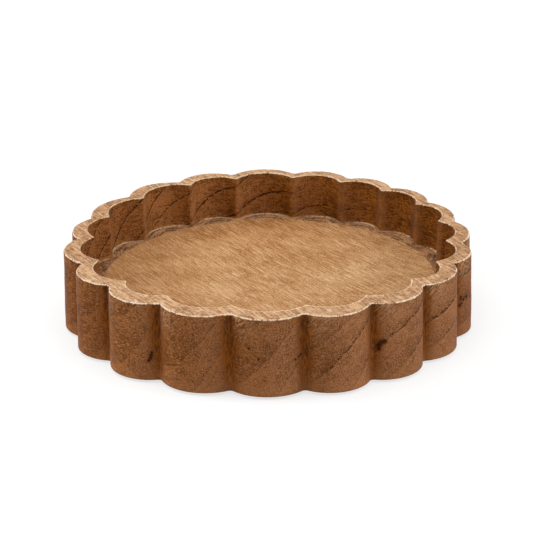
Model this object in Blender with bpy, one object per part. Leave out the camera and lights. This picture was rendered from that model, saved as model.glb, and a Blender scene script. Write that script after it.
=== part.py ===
# A round wooden tray with a scalloped wall: a carved body, a round floor panel let into
# the bottom of its well, and four felt pads that it stands on.
#
# The tray stands on the plane Z = 0, centred on the Z axis, with its front towards -Y.
# Every scallop is an arc, and its rise is a share of half its width. The outer side of the
# wall has one row of scallops, and the inner side has another row behind it.

import math

import bmesh
import bpy
from mathutils import Vector

# Driving dimensions, in metres
crease_radius = 0.143
wood_height = 0.060
wall_at_crease = 0.013
base_thickness = 0.0267
fit_gap = 0.0003

# Edges of the carved body
outer_crease_fillet = 0.003
cusp_fillet = 0.002
rim_outer_round = 0.0015
rim_inner_round = 0.0012
foot_round = 0.001
wall_draft = 0.0012
pocket_cove = 0.0012

# The well is cut a little off centre, so the wall is thinnest at the back
well_shift = 0.0034
well_shift_angle = math.radians(84)

# Floor panel
panel_thickness = 0.006
panel_proud = 0.001
panel_ledge = 0.0038
panel_edge_round = 0.0006

# Felt pads
pad_radius = 0.009
pad_thickness = 0.0015
pad_edge_round = 0.0003
pad_edge_inset = 0.045
pad_count = 4
first_pad_angle = math.radians(45)

# The hand-cut scallops are uneven. Going round anticlockwise from the front left crease,
# these are the width of each scallop as a share of the mean width, and its rise as a share
# of half its width.
first_crease_angle = math.radians(-101.5)
scallop_width_shares = (
    1.12, 1.08, 1.06, 1.03, 0.90, 0.94, 0.93, 0.87, 0.83, 0.91,
    1.02, 0.94, 1.02, 1.11, 0.90, 1.06, 1.03, 1.08, 1.16)
scallop_rise_shares = (
    0.49, 0.55, 0.54, 0.49, 0.47, 0.40, 0.38, 0.44, 0.48, 0.50,
    0.48, 0.50, 0.48, 0.38, 0.40, 0.48, 0.54, 0.55, 0.51)
# How far each inner cusp stands past the crease it backs, as a share of the mean width,
# and the rise of each inner pocket as a share of half its width.
cusp_shift_shares = (
    -0.03, 0.08, 0.07, 0.05, -0.08, 0.01, -0.01, -0.06, -0.06, -0.05,
    -0.03, -0.03, -0.09, -0.09, -0.12, 0.00, 0.02, 0.06, -0.04)
pocket_rise_shares = (
    0.50, 0.54, 0.56, 0.56, 0.52, 0.52, 0.56, 0.56, 0.56, 0.57,
    0.57, 0.58, 0.56, 0.50, 0.50, 0.54, 0.58, 0.54, 0.52)

# Steps that the round shapes are divided into, and the bend past which an edge is sharp
scallop_steps = 8
fillet_steps = 3
edge_steps = 2
panel_steps = 96
pad_steps = 32
sharp_angle = math.radians(35)

# Finishes
carved_wood_colour = (0.24, 0.12, 0.055)
carved_wood_roughness = 0.6
sanded_wood_colour = (0.50, 0.29, 0.145)
sanded_wood_roughness = 0.55
felt_colour = (0.09, 0.06, 0.045)
felt_roughness = 0.95


def clear_scene():
    for thing in list(bpy.data.objects):
        bpy.data.objects.remove(thing, do_unlink=True)


def make_material(name, colour, roughness):
    material = bpy.data.materials.new(name)
    material.use_nodes = True
    shader = material.node_tree.nodes["Principled BSDF"]
    shader.inputs["Base Color"].default_value = (*colour, 1)
    shader.inputs["Roughness"].default_value = roughness
    shader.inputs["Metallic"].default_value = 0
    return material


def carved_wood():
    return make_material("carved_wood", carved_wood_colour, carved_wood_roughness)


def sanded_wood():
    return make_material("sanded_wood", sanded_wood_colour, sanded_wood_roughness)


def brown_felt():
    return make_material("brown_felt", felt_colour, felt_roughness)


def polar(radius, angle):
    return Vector((radius * math.cos(angle), radius * math.sin(angle)))


def crease_angles():
    # The angle of each outer crease, and the width of a mean scallop
    mean_width = math.tau / len(scallop_width_shares)
    whole = sum(scallop_width_shares)
    angles = []
    angle = first_crease_angle
    for share in scallop_width_shares:
        angles.append(angle)
        angle += math.tau * share / whole
    return angles, mean_width


def lobe_circle(start, end, centre, rise_share):
    # The centre and radius of the arc from start to end that rises away from the centre
    middle = (start + end) / 2
    half = (end - start).length / 2
    rise = half * rise_share
    radius = (half ** 2 + rise ** 2) / (2 * rise)
    outward = (middle - centre).normalized()
    return middle - outward * (radius - rise), radius


def fillet_centre(first, second, fillet, centre):
    # The circle outside both lobe circles that touches them, on the side away from the centre
    (one, one_radius), (two, two_radius) = first, second
    span = two - one
    apart = span.length
    reach = one_radius + fillet
    other_reach = two_radius + fillet
    along = (apart ** 2 + reach ** 2 - other_reach ** 2) / (2 * apart)
    aside = math.sqrt(reach ** 2 - along ** 2)
    direction = span / apart
    normal = Vector((direction.y, -direction.x))
    if normal.dot(one - centre) < 0:
        normal = -normal
    return one + direction * along + normal * aside


def turn_between(start, end):
    # The signed turn from one direction to another, the short way
    return math.atan2(start.x * end.y - start.y * end.x, start.dot(end))


def scalloped_arcs(radius, angles, rise_shares, fillet, centre):
    # A closed row of lobes joined by fillets, as (centre, radius, first direction, turn, side).
    # Side is 1 on a lobe and -1 on a fillet, whose circle lies outside the outline.
    count = len(angles)
    creases = [centre + polar(radius, angle) for angle in angles]
    lobes = []
    for index in range(count):
        end = creases[(index + 1) % count]
        lobes.append(lobe_circle(creases[index], end, centre, rise_shares[index]))
    fillets = [fillet_centre(lobes[index - 1], lobes[index], fillet, centre) for index in range(count)]
    arcs = []
    for index in range(count):
        middle, size = lobes[index]
        following, _ = lobes[(index + 1) % count]
        near = fillets[index]
        far = fillets[(index + 1) % count]
        arcs.append((middle, size, near - middle, turn_between(near - middle, far - middle), 1))
        arcs.append((far, fillet, middle - far, turn_between(middle - far, following - far), -1))
    return arcs


def outline(arcs, inset):
    # The points of an outline drawn inwards by inset, or outwards where inset is negative
    points = []
    for middle, size, first, turn, side in arcs:
        radius = size - side * inset
        start = math.atan2(first.y, first.x)
        if side > 0:
            steps = scallop_steps
            stops = range(steps + 1)
        else:
            steps = fillet_steps
            stops = range(1, steps)
        for stop in stops:
            points.append(middle + polar(radius, start + turn * stop / steps))
    return points


def quarter_round(size):
    # Steps through a quarter turn: how far in from the wall, and how far up from its end
    steps = []
    for stop in range(edge_steps + 1):
        angle = math.pi / 2 * stop / edge_steps
        steps.append((size * (1 - math.cos(angle)), size * math.sin(angle)))
    return steps


def add_ring(mesh, points, height):
    return [mesh.verts.new((point.x, point.y, height)) for point in points]


def skin_rings(mesh, rings):
    # Walls between neighbouring rings and a flat cap on the first and on the last
    count = len(rings[0])
    for lower, upper in zip(rings, rings[1:]):
        for index in range(count):
            following = (index + 1) % count
            mesh.faces.new((lower[index], lower[following], upper[following], upper[index]))
    mesh.faces.new(list(reversed(rings[0])))
    mesh.faces.new(rings[-1])


def finish_object(name, mesh, material):
    bmesh.ops.recalc_face_normals(mesh, faces=mesh.faces)
    data = bpy.data.meshes.new(name)
    mesh.to_mesh(data)
    mesh.free()
    data.shade_smooth()
    data.set_sharp_from_angle(angle=sharp_angle)
    data.materials.append(material)
    thing = bpy.data.objects.new(name, data)
    bpy.context.collection.objects.link(thing)
    return thing


def tray_middle(arcs):
    # The middle of the box round the outer outline, which goes on the Z axis
    points = outline(arcs, 0)
    xs = [point.x for point in points]
    ys = [point.y for point in points]
    return Vector((min(xs) + max(xs), min(ys) + max(ys))) / 2


def wood_bottom():
    return pad_thickness + fit_gap


def pocket_level():
    return wood_bottom() + base_thickness


def cusp_radius():
    return crease_radius - wall_at_crease


def panel_radius():
    return cusp_radius() - wall_draft - pocket_cove - panel_ledge


def well_middle():
    return polar(well_shift, well_shift_angle)


def make_body(outer, inner, middle):
    # One carved block: a scalloped wall, pocket floors behind each scallop, and a round
    # recess that takes the floor panel.
    bottom = wood_bottom()
    top = bottom + wood_height
    pocket = pocket_level()
    recess_floor = pocket + panel_proud - panel_thickness - fit_gap
    mesh = bmesh.new()
    rings = []
    for inset, rise in reversed(quarter_round(foot_round)):
        rings.append(add_ring(mesh, outline(outer, inset), bottom + foot_round - rise))
    for inset, rise in quarter_round(rim_outer_round):
        rings.append(add_ring(mesh, outline(outer, inset), top - rim_outer_round + rise))
    for inset, rise in reversed(quarter_round(rim_inner_round)):
        rings.append(add_ring(mesh, outline(inner, -inset), top - rim_inner_round + rise))
    for inset, rise in quarter_round(pocket_cove):
        rings.append(add_ring(mesh, outline(inner, wall_draft + inset), pocket + pocket_cove - rise))
    foot = outline(inner, wall_draft + pocket_cove)
    recess = []
    for point in foot:
        away = (point - middle).normalized()
        recess.append(middle + away * (panel_radius() + fit_gap))
    rings.append(add_ring(mesh, recess, pocket))
    rings.append(add_ring(mesh, recess, recess_floor))
    skin_rings(mesh, rings)
    return finish_object("scalloped_body", mesh, carved_wood())


def make_disc(name, radius, thickness, edge_round, steps, upward, material):
    # A turned disc whose origin is the middle of its plain face. Its eased edge is on the
    # other face, which is above the origin where upward is 1 and below it where it is -1.
    mesh = bmesh.new()
    circle = [math.tau * step / steps for step in range(steps)]
    levels = [(radius, 0)]
    for inset, rise in quarter_round(edge_round):
        levels.append((radius - inset, thickness - edge_round + rise))
    rings = []
    for size, height in levels:
        rings.append(add_ring(mesh, [polar(size, angle) for angle in circle], upward * height))
    skin_rings(mesh, rings)
    return finish_object(name, mesh, material)


def make_floor_panel(middle):
    panel = make_disc(
        "floor_panel", panel_radius(), panel_thickness, panel_edge_round, panel_steps, 1, sanded_wood())
    seat = pocket_level() + panel_proud - panel_thickness
    panel.location = (middle.x, middle.y, seat)


def make_pads():
    felt = brown_felt()
    for index in range(pad_count):
        place = polar(crease_radius - pad_edge_inset, first_pad_angle + math.tau * index / pad_count)
        pad = make_disc(
            f"felt_pad_{index + 1}", pad_radius, pad_thickness, pad_edge_round, pad_steps, -1, felt)
        pad.location = (place.x, place.y, pad_thickness)


def make_tray():
    angles, mean_width = crease_angles()
    cusps = [angle + share * mean_width for angle, share in zip(angles, cusp_shift_shares)]
    free = scalloped_arcs(
        crease_radius, angles, scallop_rise_shares, outer_crease_fillet, Vector((0, 0)))
    centre = -tray_middle(free)
    outer = scalloped_arcs(crease_radius, angles, scallop_rise_shares, outer_crease_fillet, centre)
    well = centre + well_middle()
    inner = scalloped_arcs(cusp_radius(), cusps, pocket_rise_shares, cusp_fillet, well)
    make_body(outer, inner, well)
    make_floor_panel(well)
    make_pads()


clear_scene()
make_tray()
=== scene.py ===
import math
import bmesh
import bpy
import numpy as np
from mathutils import Matrix, Vector
from mathutils.kdtree import KDTree


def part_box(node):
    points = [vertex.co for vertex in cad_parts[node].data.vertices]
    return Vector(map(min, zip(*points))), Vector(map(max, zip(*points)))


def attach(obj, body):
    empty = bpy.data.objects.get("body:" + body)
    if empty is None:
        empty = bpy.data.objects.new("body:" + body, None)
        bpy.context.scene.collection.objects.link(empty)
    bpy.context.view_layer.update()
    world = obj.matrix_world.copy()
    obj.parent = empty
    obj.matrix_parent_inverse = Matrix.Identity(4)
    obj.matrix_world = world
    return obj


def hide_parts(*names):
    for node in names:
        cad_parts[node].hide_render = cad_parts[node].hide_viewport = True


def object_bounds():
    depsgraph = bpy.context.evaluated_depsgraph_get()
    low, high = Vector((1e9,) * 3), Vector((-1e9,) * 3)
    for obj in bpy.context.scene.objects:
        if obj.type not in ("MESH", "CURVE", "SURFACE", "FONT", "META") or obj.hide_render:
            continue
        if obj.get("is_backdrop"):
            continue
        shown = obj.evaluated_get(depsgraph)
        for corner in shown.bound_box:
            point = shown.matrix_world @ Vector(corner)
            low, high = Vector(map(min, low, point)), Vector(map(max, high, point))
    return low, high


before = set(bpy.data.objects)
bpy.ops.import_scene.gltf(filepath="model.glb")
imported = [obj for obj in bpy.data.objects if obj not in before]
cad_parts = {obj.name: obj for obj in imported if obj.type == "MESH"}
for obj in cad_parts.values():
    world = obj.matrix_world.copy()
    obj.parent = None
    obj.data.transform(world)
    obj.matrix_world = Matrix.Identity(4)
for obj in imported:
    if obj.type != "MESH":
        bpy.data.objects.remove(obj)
cad_low, cad_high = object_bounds()
bpy.ops.object.select_all(action="DESELECT")

# Carved body
# One thick round of light, wide-ringed wood, cut by hand into an upright wall of 19 uneven
# scallops inside and out. It is stained brown, and its rim is sanded and rubbed pale.

# What the frame gives: where the wood starts and ends, and where the well is
body_low, body_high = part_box("scalloped_body")
panel_low, panel_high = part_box("floor_panel")
wood_bottom = body_low.z
rim_level = body_high.z
panel_proud = 0.001
glue_gap = 0.0003
pocket_level = panel_high.z - panel_proud
panel_radius = (panel_high.x - panel_low.x) / 2
well_middle = ((panel_low + panel_high) / 2).to_2d()
recess_floor = panel_low.z - glue_gap
recess_radius = panel_radius + glue_gap

# The scallops, going round anticlockwise from the front left crease: the width of each as a
# share of the mean, its rise as a share of half its width, how far the cusp inside stands past
# the crease as a share of the mean width, and the rise of the pocket inside.
crease_radius = 0.143
cusp_radius = 0.130
well_shift = 0.0034
well_shift_angle = math.radians(84)
first_crease_angle = math.radians(-101.5)
scallop_width_shares = (
    1.12, 1.08, 1.06, 1.03, 0.90, 0.94, 0.93, 0.87, 0.83, 0.91,
    1.02, 0.94, 1.02, 1.11, 0.90, 1.06, 1.03, 1.08, 1.16)
scallop_rise_shares = (
    0.49, 0.55, 0.54, 0.49, 0.47, 0.40, 0.38, 0.44, 0.48, 0.50,
    0.48, 0.50, 0.48, 0.38, 0.40, 0.48, 0.54, 0.55, 0.51)
cusp_shift_shares = (
    -0.03, 0.08, 0.07, 0.05, -0.08, 0.01, 0.01, -0.02, 0.015, 0.02,
    0.00, 0.00, -0.08, -0.06, -0.12, 0.00, 0.02, 0.06, -0.04)
pocket_rise_shares = (
    0.50, 0.54, 0.56, 0.56, 0.52, 0.52, 0.56, 0.56, 0.56, 0.57,
    0.57, 0.58, 0.56, 0.50, 0.50, 0.54, 0.58, 0.54, 0.52)
outer_crease_fillet = 0.003
cusp_fillet = 0.002

# Edges and steps of the wall's two sides
rim_outer_round = 0.0015
rim_inner_round = 0.0012
foot_round = 0.001
pocket_cove = 0.0012
wall_draft = 0.0012
course_height = 0.0024
lobe_steps = 40
fillet_steps = 8
edge_steps = 4
merge_distance = 0.00002
smooth_angle = math.radians(40)


def polar(radius, angle):
    return Vector((radius * math.cos(angle), radius * math.sin(angle)))


def points_round(centre, radius, angles, turn=0):
    return [centre + polar(radius, angle + turn) for angle in angles]


def lobe_circle(start, end, centre, rise_share):
    # The centre and radius of the arc from start to end that rises away from the centre
    half = (end - start).length / 2
    rise = half * rise_share
    radius = (half ** 2 + rise ** 2) / (2 * rise)
    middle = (start + end) / 2
    return middle - (middle - centre).normalized() * (radius - rise), radius


def fillet_centre(first, second, fillet, centre):
    # The circle outside both lobe circles that touches them, on the side away from the centre
    (one, one_radius), (two, two_radius) = first, second
    span = two - one
    reach = one_radius + fillet
    along = (span.length_squared + reach ** 2 - (two_radius + fillet) ** 2) / (2 * span.length)
    aside = math.sqrt(reach ** 2 - along ** 2)
    direction = span.normalized()
    normal = Vector((direction.y, -direction.x))
    if normal.dot(one - centre) < 0:
        normal = -normal
    return one + direction * along + normal * aside


def turn_between(start, end):
    return math.atan2(start.x * end.y - start.y * end.x, start.dot(end))


def scalloped_arcs(radius, angles, rise_shares, fillet, centre):
    # Lobes joined by small fillets, each as (centre, first spoke, turn, steps)
    creases = points_round(centre, radius, angles)
    lobes = []
    for start, end, share in zip(creases, creases[1:] + creases[:1], rise_shares):
        lobes.append(lobe_circle(start, end, centre, share))
    fillets = []
    for index, lobe in enumerate(lobes):
        fillets.append(fillet_centre(lobes[index - 1], lobe, fillet, centre))
    arcs = []
    for index, (middle, size) in enumerate(lobes):
        following = (index + 1) % len(lobes)
        joint = fillets[following]
        spoke = (fillets[index] - middle).normalized() * size
        arcs.append((middle, spoke, turn_between(spoke, joint - middle), lobe_steps))
        spoke = (middle - joint).normalized() * fillet
        arcs.append((joint, spoke, turn_between(spoke, lobes[following][0] - joint), fillet_steps))
    return arcs


def outline_points(arcs):
    points = []
    for middle, spoke, turn, steps in arcs:
        for step in range(steps):
            points.append(middle + Matrix.Rotation(turn * step / steps, 2) @ spoke)
    return points


def quarter_round(size):
    # How far in from the wall, and how far up from the start, through a quarter turn
    stops = [math.pi / 2 * step / edge_steps for step in range(edge_steps + 1)]
    return [(size * (1 - math.cos(stop)), size * math.sin(stop)) for stop in stops]


def courses(low, high):
    count = math.ceil((high - low) / course_height)
    return [low + (high - low) * step / count for step in range(1, count)]


def sweep_wall(name, arcs, profile):
    # One upright edge, bent to the wall's profile and spun along each arc in turn
    bpy.ops.mesh.primitive_grid_add(x_subdivisions=1, y_subdivisions=len(profile) - 1)
    wall = bpy.context.object
    wall.name = name
    bpy.ops.object.mode_set(mode="EDIT")
    mesh = bmesh.from_edit_mesh(wall.data)
    for vertex in mesh.verts:
        vertex.select_set(vertex.co.x > 0)
    bpy.ops.mesh.delete(type="VERT")
    mesh = bmesh.from_edit_mesh(wall.data)
    middle, spoke, _, _ = arcs[0]
    for vertex, (inset, height) in zip(sorted(mesh.verts, key=lambda each: each.co.y), profile):
        place = middle + spoke.normalized() * (spoke.length - inset)
        vertex.co = (place.x, place.y, height)
    bmesh.update_edit_mesh(wall.data)
    bpy.ops.mesh.select_all(action="SELECT")
    for middle, _, turn, steps in arcs:
        bpy.ops.mesh.spin(steps=steps, angle=-turn, center=(middle.x, middle.y, 0), axis=(0, 0, 1))
    bpy.ops.mesh.select_all(action="SELECT")
    bpy.ops.mesh.remove_doubles(threshold=merge_distance)
    bpy.ops.object.mode_set(mode="OBJECT")
    return wall


def join_pieces(pieces):
    bpy.ops.object.select_all(action="DESELECT")
    for piece in pieces:
        piece.select_set(True)
    bpy.context.view_layer.objects.active = pieces[0]
    bpy.ops.object.join()
    return pieces[0]


def select_open_edges(piece, *levels):
    # The open edges that lie at these levels, in edit mode
    bpy.ops.mesh.select_all(action="DESELECT")
    bpy.ops.mesh.select_mode(type="EDGE")
    mesh = bmesh.from_edit_mesh(piece.data)
    for edge in mesh.edges:
        if not edge.is_manifold:
            for level in levels:
                if all(abs(vertex.co.z - level) < merge_distance for vertex in edge.verts):
                    edge.select_set(True)
    bmesh.update_edit_mesh(piece.data)


def bridge_flat(piece, levels, cuts, flat_level):
    # Bridges the open rings at two levels, and presses the new faces flat. Rings that start in
    # one plane are bridged crosswise, so one of them is always kept aside until it is bridged.
    select_open_edges(piece, *levels)
    bpy.ops.mesh.bridge_edge_loops(number_cuts=cuts, interpolation="LINEAR")
    bpy.ops.transform.resize(value=(1, 1, 0), center_override=(0, 0, flat_level))


def hoop(arcs, radius, middle, level):
    # A round ring to bridge to, with its points on the lines from the middle to the wall's own
    points = outline_points(arcs)
    bpy.ops.mesh.primitive_circle_add(vertices=len(points))
    ring = bpy.context.object
    for vertex, point in zip(ring.data.vertices, points):
        place = middle + (point - middle).normalized() * radius
        vertex.co = (place.x, place.y, level)
    return ring


def finish_piece(piece, name):
    piece.name = name
    piece.data.name = name
    bpy.ops.object.select_all(action="DESELECT")
    piece.select_set(True)
    bpy.context.view_layer.objects.active = piece
    bpy.ops.object.transform_apply(location=True, rotation=True, scale=True)
    bpy.ops.object.mode_set(mode="EDIT")
    bpy.ops.mesh.select_all(action="SELECT")
    bpy.ops.mesh.normals_make_consistent(inside=False)
    bpy.ops.object.mode_set(mode="OBJECT")
    bpy.ops.object.shade_smooth_by_angle(angle=smooth_angle)


mean_width = math.tau / len(scallop_width_shares)
turns = np.cumsum((0,) + scallop_width_shares[:-1]) / sum(scallop_width_shares)
crease_angles = [first_crease_angle + math.tau * float(turn) for turn in turns]
cusp_angles = [angle + share * mean_width for angle, share in zip(crease_angles, cusp_shift_shares)]
crease_middle = well_middle - polar(well_shift, well_shift_angle)
outer_arcs = scalloped_arcs(
    crease_radius, crease_angles, scallop_rise_shares, outer_crease_fillet, crease_middle)
inner_arcs = scalloped_arcs(cusp_radius, cusp_angles, pocket_rise_shares, cusp_fillet, well_middle)

# Both walls in profile, from the bottom up: how far in from the outline, and at which level
foot_top = wood_bottom + foot_round
outer_lip = rim_level - rim_outer_round
outer_profile = [(inset, foot_top - climb) for inset, climb in reversed(quarter_round(foot_round))]
outer_profile += [(0, level) for level in courses(foot_top, outer_lip)]
outer_profile += [(inset, outer_lip + climb) for inset, climb in quarter_round(rim_outer_round)]

cove_top = pocket_level + pocket_cove
inner_lip = rim_level - rim_inner_round
draft_slope = wall_draft / (inner_lip - cove_top)
inner_profile = [
    (wall_draft + inset, cove_top - climb) for inset, climb in reversed(quarter_round(pocket_cove))]
inner_profile += [(draft_slope * (inner_lip - level), level) for level in courses(cove_top, inner_lip)]
inner_profile += [(-inset, inner_lip + climb) for inset, climb in quarter_round(rim_inner_round)]

# How far the inner wall is held up while the rim is bridged, how many cuts each flat face gets,
# and how much each ring shrinks of those that close a face
wall_lift = 0.05
rim_cuts = 8
pocket_cuts = 6
underside_cuts = 3
closing_shares = (0.7, 0.5, 0.2)

outer_wall = sweep_wall("outer_wall", outer_arcs, outer_profile)
inner_wall = sweep_wall("inner_wall", inner_arcs, inner_profile)
inner_wall.location.z = wall_lift
recess_mouth = hoop(inner_arcs, recess_radius, well_middle, recess_floor)
foot_ring = hoop(outer_arcs, cusp_radius, crease_middle, wood_bottom - wall_lift)
body = join_pieces([outer_wall, inner_wall, recess_mouth, foot_ring])

# The flat top of the rim is bridged while the inner wall is held up, which is then let down.
# The pocket floors and the underside are bridged to plain rings, and then closed flat.
bpy.ops.object.mode_set(mode="EDIT")
bridge_flat(body, (rim_level, rim_level + wall_lift), rim_cuts, rim_level)
mesh = bmesh.from_edit_mesh(body.data)
for vertex in mesh.verts:
    vertex.select_set(vertex.co.z > rim_level + merge_distance)
bpy.ops.transform.translate(value=(0, 0, -wall_lift))
bridge_flat(body, (pocket_level, recess_floor), pocket_cuts, pocket_level)
bridge_flat(body, (wood_bottom, wood_bottom - wall_lift), underside_cuts, wood_bottom)
select_open_edges(body, pocket_level)
bpy.ops.mesh.extrude_region_move(TRANSFORM_OT_translate={"value": (0, 0, recess_floor - pocket_level)})
for level, middle in ((recess_floor, well_middle), (wood_bottom, crease_middle)):
    select_open_edges(body, level)
    for share in closing_shares:
        bpy.ops.mesh.extrude_region_move()
        bpy.ops.transform.resize(value=(share, share, 1), center_override=(middle.x, middle.y, level))
    bpy.ops.mesh.edge_face_add()
bpy.ops.object.mode_set(mode="OBJECT")
finish_piece(body, "carved_body")


def vertex_places(piece):
    flat = np.empty(len(piece.data.vertices) * 3)
    piece.data.vertices.foreach_get("co", flat)
    return flat.reshape(-1, 3)


def gap_to(places, points):
    # How far each place is, seen from above, from the nearest of these points
    tree = KDTree(len(points))
    for index, point in enumerate(points):
        tree.insert((point.x, point.y, 0), index)
    tree.balance()
    return np.array([tree.find((x, y, 0))[2] for x, y in places[:, :2]])


def near(distance, reach):
    # 1 at the place itself, fading smoothly to nothing at about twice the reach
    return np.exp(-(distance / reach) ** 2)


def between(value, low, high):
    # 0 up to low, 1 from high on, and even in between
    return np.clip((value - low) / (high - low), 0, 1)


def patches(azimuth, spots):
    # Adds up soft patches round the tray, each given as its strength, azimuth and reach in degrees
    return sum(strength * near(azimuth - middle, reach) for strength, middle, reach in spots)


def paint(piece, name, values):
    # Keeps a value for each point, for the finish to read
    layer = piece.data.attributes.new(name, "FLOAT", "POINT")
    layer.data.foreach_set("value", values.astype(np.float32))


def wear_down(piece, name, weights, grain_size, depth, middle):
    # Moves the surface in and out by small amounts, as a gouge or years of handling would
    least_weight = 0.02
    group = piece.vertex_groups.new(name=name)
    for index in np.flatnonzero(weights > least_weight):
        group.add([int(index)], float(weights[index]), "REPLACE")
    texture = bpy.data.textures.new(name, "CLOUDS")
    texture.noise_scale = grain_size
    texture.noise_depth = 2
    bpy.ops.object.modifier_add(type="DISPLACE")
    wear = piece.modifiers[-1]
    wear.texture = texture
    wear.texture_coords = "LOCAL"
    wear.vertex_group = name
    wear.strength = depth
    wear.mid_level = middle
    bpy.ops.object.modifier_apply(modifier=wear.name)
    piece.vertex_groups.clear()


# Where each point lies: its level, its azimuth, and how far it is from the wall's two sides
places = vertex_places(body)
level = places[:, 2]
rise = (level - wood_bottom) / (rim_level - wood_bottom)
azimuth = np.degrees(np.arctan2(places[:, 1] - well_middle.y, places[:, 0] - well_middle.x))
in_front = near(azimuth + 90, 55)
sideways = np.cos(np.radians(azimuth)) ** 2
outer_gap = gap_to(places, outline_points(outer_arcs))
inner_gap = gap_to(places, outline_points(inner_arcs))
crease_gap = gap_to(places, points_round(crease_middle, crease_radius, crease_angles))
cusp_gap = gap_to(places, points_round(well_middle, cusp_radius, cusp_angles))

# Which part of the body it is on
rim_skin = 0.0002
rim_fade_low = rim_level - 0.0006
rim_fade_high = rim_level - 0.0001
on_rim = level > rim_level - rim_skin
under = level < wood_bottom + merge_distance
inwards = inner_gap < outer_gap
inside = inwards & ~on_rim & (level > pocket_level - merge_distance)
on_pocket = inside & (level < pocket_level + pocket_cove / 2)
recess = inwards & (level < pocket_level - merge_distance)
paint(body, "rim", between(level, rim_fade_low, rim_fade_high))
paint(body, "inside", inside * 1.0)
paint(body, "pocket", on_pocket * 1.0)

# The rim's two edges are rubbed, the inner one most in front and least at the sides
edge_depth = 0.0004
outer_reach = 0.0011
inner_reach = 0.0008 + 0.0010 * in_front
outer_edge = near(np.hypot(outer_gap - edge_depth, level - rim_level + edge_depth), outer_reach)
inner_edge = near(np.hypot(inner_gap - edge_depth, level - rim_level + edge_depth), inner_reach)
inner_edge = inner_edge * (1 + 0.25 * in_front - 0.25 * sideways ** 3)
paint(body, "outer_edge", outer_edge)
paint(body, "inner_edge", inner_edge)

# Outside, the creases are darker, painted shade together with gathered stain, most of all high
# up and at the front left. The wood on one side of each crease is scuffed under the rim, and the
# foot is a little paler, painted light from the floor.
crease_stain_and_shade_reach = 0.0080
scuff_reach = 0.010
scuff_turn = 0.06
scuff_clearance = 0.006
scuff_low = 0.040
scuff_high = 0.058
floor_light_reach = 0.009
scuff_gap = gap_to(places, points_round(crease_middle, crease_radius, crease_angles, scuff_turn))
# Painted shade in the creases, with gathered stain, stronger high up
crease_shade_and_stain_values = near(crease_gap, crease_stain_and_shade_reach) * (0.75 + 0.60 * rise)
crease_shade_and_stain_values = crease_shade_and_stain_values * (1 + patches(azimuth, ((0.20, -155, 25),)))
scuffed = near(scuff_gap, scuff_reach) * (1 - near(crease_gap, scuff_clearance))
paint(body, "crease_shade_and_stain", crease_shade_and_stain_values * ~inside * ~on_rim)
paint(body, "scuff", scuffed * ~inside * between(level, scuff_low, scuff_high))
# Painted light from the floor: the foot is made paler
paint(body, "painted_floor_light", near(level - wood_bottom, floor_light_reach) * ~inside)

# Inside, the cusps at the back are paler, a painted highlight with some rubbing, and beside those
# at the back right lies painted shade.
# Right under the rim lies a darker band of painted shade, above all inside.
ridge_reach = 0.0026
ridge_turn = -0.02
cusp_shade_reach = 0.0065
cusp_shade_turn = 0.055
cusp_shade_depth = 0.003
under_rim_shade_drop = 0.0022
under_rim_shade_reach = 0.0015
ridge_gap = gap_to(places, points_round(well_middle, cusp_radius, cusp_angles, ridge_turn))
cusp_shade_points = points_round(well_middle, cusp_radius + cusp_shade_depth, cusp_angles, cusp_shade_turn)
# Painted shade beside the cusps at the back right
painted_shade_share = near(gap_to(places, cusp_shade_points), cusp_shade_reach) * patches(azimuth, ((1.0, 50, 55),))
# Painted shade: a darker band right under the rim, stronger inside
under_rim_shade = near(level - rim_level + under_rim_shade_drop, under_rim_shade_reach) * (0.25 + 0.75 * inside)
# Painted highlight along the cusps inside, with some rubbing
paint(body, "cusp_highlight", near(ridge_gap, ridge_reach) * inside * ~on_pocket * (azimuth > 0))
paint(body, "painted_shade_share", painted_shade_share * inside * ~on_pocket)
paint(body, "under_rim_shade", under_rim_shade * ~on_rim)

# Where the colour is darker, set by azimuth round the tray
deeper_outside = patches(azimuth, ((1.0, -162, 20), (0.55, -103, 16), (1.3, -3, 20)))
deeper_inside = patches(azimuth, ((1.0, 13, 50), (0.30, 155, 26)))
deeper_rim = patches(azimuth, ((0.8, 10, 70), (1.0, 146, 22), (0.5, -172, 13)))
deeper = np.where(inside, deeper_inside, deeper_outside)
deeper = np.where(on_rim, deeper_rim, deeper)
deeper = np.where(on_pocket, sideways, deeper)
paint(body, "deeper", np.clip(deeper, 0, 1))

# Inside the right half the pore lines hardly show, and best low down
line_low = 0.041
line_high = 0.046
right_end = 84.5
right_fade = 3
least_fading = np.where(azimuth > 62, 0.15, 0.5)
on_right = np.clip((right_end - abs(azimuth)) / right_fade, 0, 1)
faint = on_right * np.maximum(between(level, line_low, line_high), least_fading)
paint(body, "faint", inside * faint)

# The pocket floors have a chalky line along the foot of the wall, and a pale seam at the panel
foot_line_reach = 0.0011
cusp_clearance = 0.0085
seam_reach = 0.0010
foot_line = near(inner_gap - wall_draft - pocket_cove, foot_line_reach)
foot_line = foot_line * (1 - near(cusp_gap, cusp_clearance))
from_middle = np.hypot(places[:, 0] - well_middle.x, places[:, 1] - well_middle.y)
paint(body, "foot_gap", inner_gap)
paint(body, "foot_line", foot_line * on_pocket)
paint(body, "seam", near(from_middle - recess_radius, seam_reach) * on_pocket)

# The gouge's marks spare the foot, and are mostly sanded off the rim. Nothing passes the CAD's box.
rim_carving_share = 0.35
foot_height = 0.01
inner_nick_share = 0.7
carving = np.where(on_rim, rim_carving_share, 1.0) * between(level, wood_bottom, wood_bottom + foot_height)
carving = carving * ~recess * ~under
nicked = np.maximum(outer_edge, inner_edge * inner_nick_share)
wear_down(body, "hand_carving", carving, grain_size=0.028, depth=0.0009, middle=0.55)
wear_down(body, "nicked_edge", nicked, grain_size=0.0035, depth=0.0006, middle=0.7)
places = np.clip(vertex_places(body), cad_low, cad_high)
body.data.vertices.foreach_set("co", places.ravel())
body.data.update()


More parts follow.
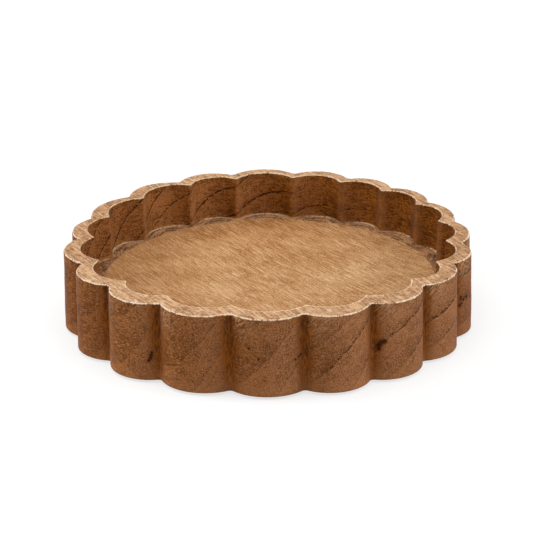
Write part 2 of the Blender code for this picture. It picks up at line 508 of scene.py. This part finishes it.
def feed(tree, node, feeds):
    # Gives a node's inputs these values, or links them to what other nodes give
    for name, value in feeds.items():
        socket = node.inputs[name]
        if isinstance(value, bpy.types.NodeSocket):
            tree.links.new(value, socket)
        else:
            socket.default_value = value


def lay(tree, kind, feeds, **settings):
    node = tree.nodes.new("ShaderNode" + kind)
    for name, value in settings.items():
        setattr(node, name, value)
    feed(tree, node, feeds)
    return node


def maths(tree, operation, *values):
    return lay(tree, "Math", dict(enumerate(values)), operation=operation).outputs[0]


def product(tree, first, *others):
    for value in others:
        first = maths(tree, "MULTIPLY", first, value)
    return first


def fade(tree, value, start, end):
    # 0 before start, 1 after end, and smooth between them
    feeds = {"Value": value, "From Min": start, "From Max": end}
    return lay(tree, "MapRange", feeds, interpolation_type="SMOOTHSTEP").outputs["Result"]


def tint(tree, share, first, second, blend_type="MIX"):
    feeds = {0: share, 6: first, 7: second}
    return lay(tree, "Mix", feeds, data_type="RGBA", blend_type=blend_type).outputs[2]


def overlay(tree, colour, shade, share, strength):
    # The colour with this shade over it, as far as the share and the strength say
    return tint(tree, product(tree, share, strength), colour, shade)


def speckle(tree, place, scale, detail=2.0, roughness=0.5):
    feeds = {"Vector": place, "Scale": scale, "Detail": detail, "Roughness": roughness}
    return lay(tree, "TexNoise", feeds).outputs["Fac"]


def mottle(tree, middle, *layers):
    # Adds up noise about this middle value, with a place, a scale and a weight for each layer
    total = middle - sum(weight for _, _, weight in layers) / 2
    for place, scale, weight in layers:
        total = maths(tree, "MULTIPLY_ADD", speckle(tree, place, scale, roughness=0.6), weight, total)
    return total


def stretch(tree, place, x, y, z):
    return lay(tree, "VectorMath", {0: place, 1: (x, y, z)}, operation="MULTIPLY").outputs[0]


def shift(tree, place, offset):
    return lay(tree, "VectorMath", {0: place, 1: offset}, operation="ADD").outputs[0]


def bump(tree, height, strength, distance):
    return lay(tree, "Bump", {"Height": height, "Strength": strength, "Distance": distance}).outputs[0]


def painted(tree, name):
    return lay(tree, "Attribute", {}, attribute_name=name).outputs["Fac"]


def new_finish(name):
    # A material, its nodes, its shader, and places on the piece to lay patterns on
    material = bpy.data.materials.new(name)
    material.use_nodes = True
    tree = material.node_tree
    return material, tree, tree.nodes["Principled BSDF"], lay(tree, "TexCoord", {}).outputs["Object"]


# The log's middle ran below the tray, from past its right side in front to under its back. Its
# rings are this far out from it at the front of the tray, and lie closer together towards the
# back, where the log was thinner.
grain_turn = math.radians(-31)
pith_place = (-0.1382, 0, 0.1329)
pith_tilt = (-0.028, 0, 0.0124)
ring_radii = (
    0.100, 0.118, 0.135, 0.151, 0.170, 0.188, 0.2122, 0.2355, 0.252, 0.2745, 0.2965, 0.3137, 0.333)
straight_radius = 0.172
front_end = -0.145
taper = 0.75
ring_sway = 0.0036
ring_wobble = 0.0012


def along_grain(tree, flat, turn):
    # Places measured from the log's middle: across the grain, along it, and up
    feeds = {"Vector": flat, "Location": pith_place, "Rotation": (0, 0, turn)}
    turned = lay(tree, "Mapping", feeds).outputs[0]
    return lay(tree, "Mapping", {"Vector": turned, "Rotation": pith_tilt}).outputs[0]


def ring_place(tree, place):
    # How far each place is from the log's middle, and how far it lies through its own year's ring
    across = stretch(tree, place, 1, 0, 1)
    radius = lay(tree, "VectorMath", {0: across}, operation="LENGTH").outputs["Value"]
    forward = lay(tree, "SeparateXYZ", {0: place}).outputs["Y"]
    spread = product(tree, maths(tree, "SUBTRACT", forward, front_end), taper)
    radius = maths(tree, "MULTIPLY_ADD", maths(tree, "SUBTRACT", radius, straight_radius), spread, radius)
    sway = maths(tree, "MULTIPLY_ADD", speckle(tree, place, 45.0), ring_sway, -ring_sway / 2)
    wobble = maths(tree, "MULTIPLY_ADD", speckle(tree, place, 260.0), ring_wobble, -ring_wobble / 2)
    radius = maths(tree, "ADD", radius, maths(tree, "ADD", sway, wobble))
    span = ring_radii[-1] - ring_radii[0]
    share = maths(tree, "DIVIDE", maths(tree, "SUBTRACT", radius, ring_radii[0]), span)
    count = len(ring_radii) - 1
    curve = lay(tree, "FloatCurve", {"Value": share})
    line = curve.mapping.curves[0]
    for index, size in enumerate(ring_radii[1:-1], 1):
        line.points.new((size - ring_radii[0]) / span, index / count)
    for point in line.points:
        point.handle_type = "VECTOR"
    curve.mapping.update()
    return radius, maths(tree, "FRACT", product(tree, curve.outputs[0], count))


# The darkest and the palest stain: each outside and then inside, along the grain and across it.
# Inside they are a deeper orange, partly painted light bounced from the orange walls and floor.
wall_stain_and_bounce_shades = (
    ((0.116, 0.033, 0.0036, 1), (0.160, 0.058, 0.0155, 1),
     (0.128, 0.0355, 0.0013, 1), (0.190, 0.064, 0.011, 1)),
    ((0.358, 0.135, 0.037, 1), (0.455, 0.199, 0.088, 1),
     (0.356, 0.127, 0.014, 1), (0.520, 0.220, 0.076, 1)))


def wall_shades(tree, inside):
    # Sawn across, the wood is pinkish and pale; cut along the grain it takes a deeper orange
    normal = lay(tree, "NewGeometry", {}).outputs["Normal"]
    fibre_way = (-math.sin(-grain_turn), math.cos(-grain_turn), 0)
    facing = lay(tree, "VectorMath", {0: normal, 1: fibre_way}, operation="DOT_PRODUCT").outputs["Value"]
    end_grain = product(tree, facing, facing)
    shades = []
    for along_outside, across_outside, along_inside, across_inside in wall_stain_and_bounce_shades:
        outside_shade = tint(tree, end_grain, along_outside, across_outside)
        inside_shade = tint(tree, end_grain, along_inside, across_inside)
        shades.append(tint(tree, inside, outside_shade, inside_shade))
    return shades


def pore_lines(tree, place, upward, radius, ring, inside):
    # The dark line of pores that starts each year comes and goes. Outside it is faint near the
    # foot and in the outermost rings, and on the rim it is sanded off.
    ragged = maths(tree, "MULTIPLY_ADD", inside, 0.025, ring)
    ragged = maths(tree, "MULTIPLY_ADD", speckle(tree, place, 900.0, 1.0), 0.07, ragged)
    dashes = maths(tree, "MULTIPLY_ADD", inside, 0.08, speckle(tree, place, 290.0, 1.0))
    strength = product(tree, fade(tree, radius, 0.255, 0.238), fade(tree, upward, 0.012, 0.028))
    strength = maths(tree, "MULTIPLY_ADD", strength, 0.66, 0.12)
    strength = maths(tree, "MAXIMUM", strength, product(tree, inside, 0.95))
    hidden = maths(tree, "ADD", painted(tree, "rim"), painted(tree, "faint"))
    line = product(tree, fade(tree, ring, 0.0, 0.008), fade(tree, ragged, 0.145, 0.105))
    return product(tree, line, fade(tree, dashes, 0.44, 0.51), strength, fade(tree, hidden, 1.0, 0.0))


def stain_and_shade_in_creases(tree, place, upright, tone):
    # How dark the creases are, painted shade together with gathered stain, in upright, ragged
    # streaks, and its colour
    crease_shade_and_stain = painted(tree, "crease_shade_and_stain")
    streaks = speckle(tree, upright, 700.0, 4.0, 0.75)
    painted_shade_share = maths(tree, "MULTIPLY_ADD", streaks, 1.2, crease_shade_and_stain)
    painted_shade_share = fade(tree, maths(tree, "MULTIPLY_ADD", tone, 0.7, painted_shade_share), 1.15, 1.90)
    streak_share = fade(tree, streaks, 0.38, 0.60)
    shade = tint(tree, streak_share, (0.072, 0.0158, 0.0005, 1), (0.270, 0.076, 0.006, 1))
    clots = speckle(tree, stretch(tree, place, 1, 1, 0.5), 420.0, 3.0, 0.6)
    clots = fade(tree, maths(tree, "MULTIPLY_ADD", clots, 1.2, crease_shade_and_stain), 1.40, 2.0)
    return painted_shade_share, overlay(tree, shade, (0.050, 0.013, 0.001, 1), clots, 0.65)


def pocket_floor(tree, flat, place):
    # Greyish, with chalky arcs that follow the foot of the wall
    outward = lay(tree, "CombineXYZ", {"Z": painted(tree, "foot_gap")}).outputs[0]
    arcs = shift(tree, stretch(tree, flat, 0.12, 0.12, 0), outward)
    chalk = mottle(tree, 0.5, (arcs, 520.0, 3.4), (place, 500.0, 2.2), (place, 120.0, 1.2))
    colour = tint(tree, chalk, (0.112, 0.045, 0.015, 1), (0.480, 0.250, 0.118, 1))
    return tint(tree, painted(tree, "deeper"), colour, (0.78, 0.72, 0.65, 1), "MULTIPLY")


def sanded_rim(tree, place, fibre):
    # Sanded back to tan, with pale scratches along the grain
    tone = mottle(
        tree, 0.5, (place, 900.0, 1.3), (place, 420.0, 1.4), (place, 130.0, 1.5),
        (fibre, 750.0, 1.8), (fibre, 380.0, 0.9))
    colour = tint(tree, tone, (0.262, 0.120, 0.046, 1), (0.665, 0.402, 0.220, 1))
    scratches = fade(tree, speckle(tree, fibre, 800.0, 3.0, 0.6), 0.57, 0.63)
    colour = overlay(tree, colour, (0.84, 0.63, 0.43, 1), scratches, 0.55)
    return tint(tree, painted(tree, "deeper"), colour, (0.82, 0.78, 0.73, 1), "MULTIPLY")


# Small knots, splits and burns in the wall: where each is, and how wide
wood_marks = (
    ((0.0828, -0.1242, 0.0322), 0.0017), ((0.0804, -0.1241, 0.0314), 0.0021),
    ((0.0786, -0.1240, 0.0292), 0.0021), ((0.0787, -0.1240, 0.0264), 0.0015),
    ((-0.0838, -0.1194, 0.0235), 0.0011), ((-0.0843, -0.1194, 0.0212), 0.0014),
    ((-0.0850, -0.1195, 0.0192), 0.0012), ((-0.0861, -0.1195, 0.0174), 0.0012),
    ((0.0225, -0.1434, 0.0312), 0.0010), ((0.0211, -0.1446, 0.0299), 0.0009),
    ((0.0189, -0.1465, 0.0285), 0.0008),
    ((0.1411, -0.0447, 0.0325), 0.0014), ((0.1434, -0.0422, 0.0303), 0.0012),
    ((0.1458, -0.0390, 0.0311), 0.0015), ((0.1483, -0.0339, 0.0300), 0.0013),
    ((0.1405, -0.0452, 0.0268), 0.0014), ((0.1419, -0.0440, 0.0279), 0.0010),
    ((-0.0143, -0.1500, 0.0388), 0.0008), ((-0.0073, -0.1522, 0.0312), 0.0007),
    ((0.1148, 0.0698, 0.0362), 0.0007), ((0.1170, 0.0690, 0.0364), 0.0009),
    ((0.1192, 0.0680, 0.0363), 0.0010), ((0.1212, 0.0669, 0.0361), 0.0007))


def carved_wood():
    material, tree, shader, flat = new_finish("carved_wood_finish")
    upward = lay(tree, "SeparateXYZ", {0: flat}).outputs["Z"]
    place = along_grain(tree, flat, grain_turn)
    fibre = stretch(tree, place, 1, 0.09, 1)
    short_fibre = stretch(tree, place, 1, 0.18, 1)
    upright = stretch(tree, place, 1, 1, 0.25)
    inside = painted(tree, "inside")

    # Blotches of the stain, from a hand's breadth to a grain of sand, and stronger inside
    tone = mottle(
        tree, 0.0, (place, 650.0, 0.6), (place, 300.0, 0.4), (place, 110.0, 0.8), (place, 30.0, 0.8),
        (short_fibre, 1500.0, 2.2), (short_fibre, 750.0, 0.9))
    ripples = mottle(tree, 0.0, (stretch(tree, flat, 0.2, 0.2, 1), 800.0, 1.7))
    tone = maths(tree, "MULTIPLY_ADD", ripples, inside, tone)
    contrast = maths(tree, "MULTIPLY_ADD", inside, 0.55, 1.0)
    tone = maths(tree, "MULTIPLY_ADD", tone, contrast, 0.5)

    # Rings: an open, darker band starts each year, behind its line of pores, and a paler one ends it
    radius, ring = ring_place(tree, place)
    early = product(tree, fade(tree, ring, 0.0, 0.02), fade(tree, ring, 0.6, 0.0))
    late = fade(tree, ring, 0.80, 0.99)
    tone = maths(tree, "MULTIPLY_ADD", early, -0.18, tone)
    tone = maths(tree, "MULTIPLY_ADD", late, 0.13, tone)
    deep, pale = wall_shades(tree, inside)
    colour = tint(tree, tone, deep, pale)
    pore_line = pore_lines(tree, place, upward, radius, ring, inside)
    colour = tint(tree, pore_line, colour, (0.032, 0.009, 0.002, 1))

    # Pores: short dark dashes along the grain, with specks where they are cut across
    pores = fade(tree, speckle(tree, fibre, 1100.0, 1.0), 0.60, 0.70)
    specks = speckle(tree, short_fibre, 1150.0, 1.0)
    pale_share = maths(tree, "MULTIPLY_ADD", inside, -0.15, 0.42)
    colour = overlay(tree, colour, (0.10, 0.03, 0.006, 1), pores, 0.5)
    colour = overlay(tree, colour, (0.060, 0.016, 0.002, 1), fade(tree, specks, 0.58, 0.68), 0.58)
    colour = overlay(tree, colour, (0.56, 0.29, 0.14, 1), fade(tree, specks, 0.40, 0.30), pale_share)

    # Darker in some places round the tray, and painted shade right under the rim and beside the cusps
    # inside
    deeper = tint(tree, inside, (0.82, 0.76, 0.68, 1), (0.66, 0.60, 0.42, 1))
    colour = tint(tree, painted(tree, "deeper"), colour, deeper, "MULTIPLY")
    # Painted shade right under the rim
    under_rim_shade = product(tree, painted(tree, "under_rim_shade"), fade(tree, speckle(tree, place, 260.0), 0.35, 0.60))
    colour = overlay(tree, colour, (0.060, 0.018, 0.003, 1), under_rim_shade, 0.85)
    # Painted shade beside the cusps at the back right
    streaks = fade(tree, speckle(tree, upright, 240.0, 3.0), 0.30, 0.62)
    beside_cusps = product(tree, painted(tree, "painted_shade_share"), streaks)
    colour = overlay(tree, colour, (0.088, 0.026, 0.0010, 1), beside_cusps, 0.75)
    # Painted shade in the creases, together with gathered stain
    in_creases, crease_shade = stain_and_shade_in_creases(tree, place, upright, tone)
    colour = overlay(tree, colour, crease_shade, in_creases, 0.94)

    # Scuffs beside the creases under the rim, paler cusps inside, a painted highlight with some
    # rubbing, and a paler foot, painted light from the floor
    slanted = lay(tree, "Mapping", {"Vector": flat, "Rotation": (0, 0.7, 0)}).outputs[0]
    hatch = stretch(tree, slanted, 0.12, 0.5, 1)
    strokes = fade(tree, speckle(tree, hatch, 1000.0), 0.46, 0.60)
    strokes = maths(tree, "MULTIPLY_ADD", strokes, 0.88, 0.04)
    colour = overlay(tree, colour, (0.54, 0.33, 0.18, 1), painted(tree, "scuff"), strokes)
    # Painted highlight on the cusps inside, with some rubbing
    colour = overlay(tree, colour, (0.43, 0.195, 0.075, 1), painted(tree, "cusp_highlight"), 0.42)
    # Painted light from the floor, paler towards the foot
    colour = overlay(tree, colour, (0.52, 0.23, 0.10, 1), painted(tree, "painted_floor_light"), 0.22)

    # Knots and splits, each dark in the middle with a soft brown border
    crumbled = maths(tree, "MULTIPLY_ADD", speckle(tree, place, 800.0), 1.0, -0.5)
    for mark, width in wood_marks:
        apart = lay(tree, "VectorMath", {0: flat, 1: mark}, operation="DISTANCE").outputs["Value"]
        reach = maths(tree, "MULTIPLY_ADD", crumbled, width, apart)
        border = fade(tree, reach, width * 2.4, width * 0.8)
        colour = overlay(tree, colour, (0.085, 0.024, 0.003, 1), border, 0.40)
        heart = fade(tree, reach, width * 1.25, width * 0.55)
        colour = tint(tree, heart, colour, (0.040, 0.010, 0.002, 1))

    # Pocket floors, with a pale seam at the panel and a chalky line along the foot of the wall
    colour = tint(tree, painted(tree, "pocket"), colour, pocket_floor(tree, flat, place))
    colour = overlay(tree, colour, (0.44, 0.27, 0.135, 1), painted(tree, "seam"), 0.6)
    chalk_line = maths(tree, "MULTIPLY_ADD", speckle(tree, place, 850.0), 1.6, painted(tree, "foot_line"))
    colour = tint(tree, fade(tree, chalk_line, 1.40, 2.0), colour, (0.74, 0.56, 0.37, 1))

    # The rim, with its edges worn almost white and nicked
    colour = tint(tree, painted(tree, "rim"), colour, sanded_rim(tree, place, fibre))
    nicks = mottle(tree, 0.0, (place, 700.0, 1.6), (place, 90.0, 1.2))
    outer_wear = fade(tree, maths(tree, "ADD", painted(tree, "outer_edge"), nicks), 0.60, 1.0)
    inner_wear = fade(tree, maths(tree, "ADD", painted(tree, "inner_edge"), nicks), 0.5, 0.9)
    inner_share = maths(tree, "MULTIPLY_ADD", painted(tree, "cusp_highlight"), -0.5, 0.80)
    colour = overlay(tree, colour, (0.88, 0.70, 0.52, 1), outer_wear, 0.90)
    colour = overlay(tree, colour, (0.86, 0.64, 0.43, 1), inner_wear, inner_share)

    height = maths(tree, "MULTIPLY_ADD", tone, 0.6, product(tree, pores, -0.4))
    height = maths(tree, "MULTIPLY_ADD", pore_line, -1.0, height)
    feed(tree, shader, {
        "Base Color": colour,
        "Roughness": maths(tree, "MULTIPLY_ADD", tone, 0.15, 0.60),
        "Specular IOR Level": 0.04,
        "Sheen Weight": 0.07,
        "Sheen Roughness": 0.4,
        "Normal": bump(tree, height, 0.35, 0.0005)})
    return material


body.data.materials.append(carved_wood())
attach(body, "root")
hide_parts("scalloped_body")

# Floor panel
# A thin disc of the same wood, let into a recess in the bottom of the well. It is sanded flat
# and rubbed with a honey-coloured stain, so that it shows fine, pale grain.

panel_steps = 192
panel_edge_round = 0.0006
panel_grain_turn = math.radians(-34)
panel_grain_bend = 0.6
paler_place = (0.03, -0.04, 0.03)

bpy.ops.mesh.primitive_circle_add(
    vertices=panel_steps, radius=panel_radius, fill_type="NGON",
    location=(well_middle.x, well_middle.y, panel_low.z))
panel = bpy.context.object
bpy.ops.object.mode_set(mode="EDIT")
bpy.ops.mesh.extrude_region_move(TRANSFORM_OT_translate={"value": (0, 0, panel_high.z - panel_low.z)})
bpy.ops.mesh.bevel(offset=panel_edge_round, segments=edge_steps)
bpy.ops.object.mode_set(mode="OBJECT")
finish_piece(panel, "floor_disc")


def sanded_wood():
    # The grain lines bow slightly, more and more towards the left and the right
    material, tree, shader, flat = new_finish("sanded_wood_finish")
    aside = lay(tree, "SeparateXYZ", {0: flat}).outputs["X"]
    bend = lay(tree, "CombineXYZ", {"X": product(tree, aside, aside, -panel_grain_bend)}).outputs[0]
    place = shift(tree, along_grain(tree, flat, panel_grain_turn), bend)
    fibre = stretch(tree, place, 1, 0.07, 1)
    tone = mottle(
        tree, 0.5, (place, 900.0, 2.8), (place, 60.0, 0.7), (place, 20.0, 1.1),
        (fibre, 900.0, 1.9), (fibre, 200.0, 0.4))
    colour = tint(tree, tone, (0.310, 0.126, 0.032, 1), (0.618, 0.376, 0.190, 1))

    # Scratches from the sanding lie along the grain, in clusters
    clusters = fade(tree, speckle(tree, stretch(tree, place, 1, 0.4, 1), 70.0), 0.40, 0.62)
    clusters = maths(tree, "MULTIPLY_ADD", clusters, 0.28, 0.22)
    threads = speckle(tree, fibre, 950.0, 2.0, 0.6)
    colour = overlay(tree, colour, (0.76, 0.53, 0.31, 1), fade(tree, threads, 0.55, 0.62), clusters)
    colour = overlay(tree, colour, (0.26, 0.090, 0.020, 1), fade(tree, threads, 0.45, 0.38), 0.38)

    # Darker and more orange round the edge, at the left and the back
    apart = lay(tree, "VectorMath", {0: flat, 1: paler_place}, operation="DISTANCE").outputs["Value"]
    colour = tint(tree, fade(tree, apart, 0.05, 0.17), colour, (0.90, 0.82, 0.72, 1), "MULTIPLY")
    feed(tree, shader, {
        "Base Color": colour,
        "Roughness": maths(tree, "MULTIPLY_ADD", tone, 0.15, 0.58),
        "Specular IOR Level": 0.08,
        "Normal": bump(tree, threads, 0.3, 0.0003)})
    return material


panel.data.materials.append(sanded_wood())
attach(panel, "root")
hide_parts("floor_panel")

# Felt pads
# Four small discs of dense brown felt, glued under the base so that it doesn't scratch what it
# stands on. They are punched from a sheet, so their edges are square and a little fuzzy.

pad_names = ("felt_pad_1", "felt_pad_2", "felt_pad_3", "felt_pad_4")
pad_low, pad_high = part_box(pad_names[0])
pad_steps = 48
pad_edge_round = 0.0003
pad_edge_steps = 2
pad_inset = 0.0015
pad_insets = 4

bpy.ops.mesh.primitive_cylinder_add(
    vertices=pad_steps, radius=(pad_high.x - pad_low.x) / 2, depth=pad_high.z - pad_low.z,
    end_fill_type="NGON", location=(pad_low + pad_high) / 2)
first_pad = bpy.context.object
bpy.ops.object.mode_set(mode="EDIT")
bpy.ops.mesh.bevel(offset=pad_edge_round, segments=pad_edge_steps)
bpy.ops.mesh.select_all(action="DESELECT")
mesh = bmesh.from_edit_mesh(first_pad.data)
for face in mesh.faces:
    face.select_set(len(face.verts) == pad_steps)
bmesh.update_edit_mesh(first_pad.data)
for _ in range(pad_insets):
    bpy.ops.mesh.inset(thickness=pad_inset)
bpy.ops.object.mode_set(mode="OBJECT")
finish_piece(first_pad, "felt_disc_1")
everywhere = np.ones(len(first_pad.data.vertices))
wear_down(first_pad, "fuzz", everywhere, grain_size=0.001, depth=0.0002, middle=1.0)


def brown_felt():
    material, tree, shader, flat = new_finish("brown_felt_finish")
    fibres = speckle(tree, flat, 1400.0, 4.0, 0.7)
    tufts = speckle(tree, flat, 380.0, 3.0, 0.6)
    colour = tint(tree, fade(tree, fibres, 0.3, 0.7), (0.055, 0.036, 0.027, 1), (0.13, 0.09, 0.068, 1))
    feed(tree, shader, {
        "Base Color": overlay(tree, colour, (0.085, 0.055, 0.04, 1), tufts, 0.5),
        "Roughness": 0.95,
        "Specular IOR Level": 0.1,
        "Sheen Weight": 0.4,
        "Sheen Roughness": 0.6,
        "Normal": bump(tree, maths(tree, "ADD", fibres, tufts), 0.8, 0.0004)})
    return material


first_pad.data.materials.append(brown_felt())
pads = [first_pad]
for name in pad_names[1:]:
    low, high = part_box(name)
    bpy.ops.object.select_all(action="DESELECT")
    first_pad.select_set(True)
    bpy.context.view_layer.objects.active = first_pad
    bpy.ops.object.duplicate()
    bpy.ops.transform.translate(value=low - pad_low)
    pad = bpy.context.object
    finish_piece(pad, "felt_disc_" + name[-1])
    pads.append(pad)
for pad, name in zip(pads, pad_names):
    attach(pad, "root")
    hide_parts(name)

# Studio floor and white surround
# A matt white table top. Seen by the camera it glows a little, so that it runs into the white
# behind it and keeps only the tray's soft shadow.

floor_size = 12
floor_albedo = (0.8, 0.8, 0.8, 1)
floor_glow_share = 0.6
floor_glow = 1.15
surround_strength = 0.35
white = (1, 1, 1, 1)


def seen_directly(tree):
    # 1 for what the camera sees, also mirrored or through glass, and 0 for light that bounces
    rays = lay(tree, "LightPath", {})
    direct = maths(tree, "MAXIMUM", rays.outputs["Is Camera Ray"], rays.outputs["Is Glossy Ray"])
    return maths(tree, "MAXIMUM", direct, rays.outputs["Is Transmission Ray"])


bpy.ops.mesh.primitive_plane_add(size=floor_size)
floor = bpy.context.object
floor.name = "studio_floor"
paper = bpy.data.materials.new("white_paper")
paper.use_nodes = True
tree = paper.node_tree
tree.nodes.clear()
matt = lay(tree, "BsdfDiffuse", {"Color": floor_albedo})
glow = lay(tree, "Emission", {"Color": white, "Strength": floor_glow})
share = product(tree, seen_directly(tree), floor_glow_share)
mixed = lay(tree, "MixShader", {0: share, 1: matt.outputs[0], 2: glow.outputs[0]})
lay(tree, "OutputMaterial", {"Surface": mixed.outputs[0]})
floor.data.materials.append(paper)
floor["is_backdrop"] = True

world = bpy.data.worlds.new("white_surround")
world.use_nodes = True
bpy.context.scene.world = world
tree = world.node_tree
tree.nodes.clear()
feeds = {"Value": seen_directly(tree), "To Min": surround_strength, "To Max": 1.0}
strength = lay(tree, "MapRange", feeds)
sky = lay(tree, "Background", {"Color": white, "Strength": strength.outputs["Result"]})
lay(tree, "OutputWorld", {"Surface": sky.outputs[0]})

# Lamps
# A large softbox hangs overhead, slightly in front of the tray's middle, and two stand at the
# tray's left and right. A weak fourth one in front opens up the shadows in the creases.

# Each lamp's bearing in degrees, its distance along the floor, its height, its width and its watts
softboxes = (
    ("top_softbox", -90, 0.15, 1.9, 1.4, 20.6),
    ("left_softbox", 171, 1.9, 0.9, 1.1, 23.5),
    ("right_softbox", -2, 1.9, 0.9, 1.1, 17),
    ("front_softbox", -98, 2.4, 0.7, 1.2, 4))

for name, bearing, distance, height, width, watts in softboxes:
    spot = polar(distance, math.radians(bearing))
    place = Vector((spot.x, spot.y, height))
    bpy.ops.object.light_add(type="AREA", location=place)
    lamp = bpy.context.object
    lamp.name = name
    lamp.rotation_euler = (-place).to_track_quat("-Z", "Y").to_euler()
    lamp.data.size = width
    lamp.data.energy = watts
bpy.context.scene.view_settings.view_transform = "Standard"

# Camera
# A long lens from in front and above, fitted to the outline in the photograph. It looks a little
# above the middle of the foot, and is turned slightly about its own axis, as there.

camera_elevation = math.radians(22.54)
camera_distance = 2.9162
camera_roll = math.radians(-0.666)
aim_right = -0.000898
aim_up = 0.012431
camera_lens = 263.6

target = Vector((crease_middle.x, crease_middle.y, wood_bottom))
toward = Vector((0, math.cos(camera_elevation), -math.sin(camera_elevation)))
upright = Vector((0, math.sin(camera_elevation), math.cos(camera_elevation)))
level_right = Vector((1, 0, 0))
right = level_right * math.cos(camera_roll) + upright * math.sin(camera_roll)
up = upright * math.cos(camera_roll) - level_right * math.sin(camera_roll)
bpy.ops.object.camera_add(location=target - toward * camera_distance)
camera = bpy.context.object
look = (toward + right * aim_right + up * aim_up).normalized()
side = (right - look * right.dot(look)).normalized()
turned = Matrix((side, side.cross(look), -look)).transposed()
camera.rotation_euler = turned.to_euler()
camera.data.lens = camera_lens
bpy.context.scene.camera = camera

low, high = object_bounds()
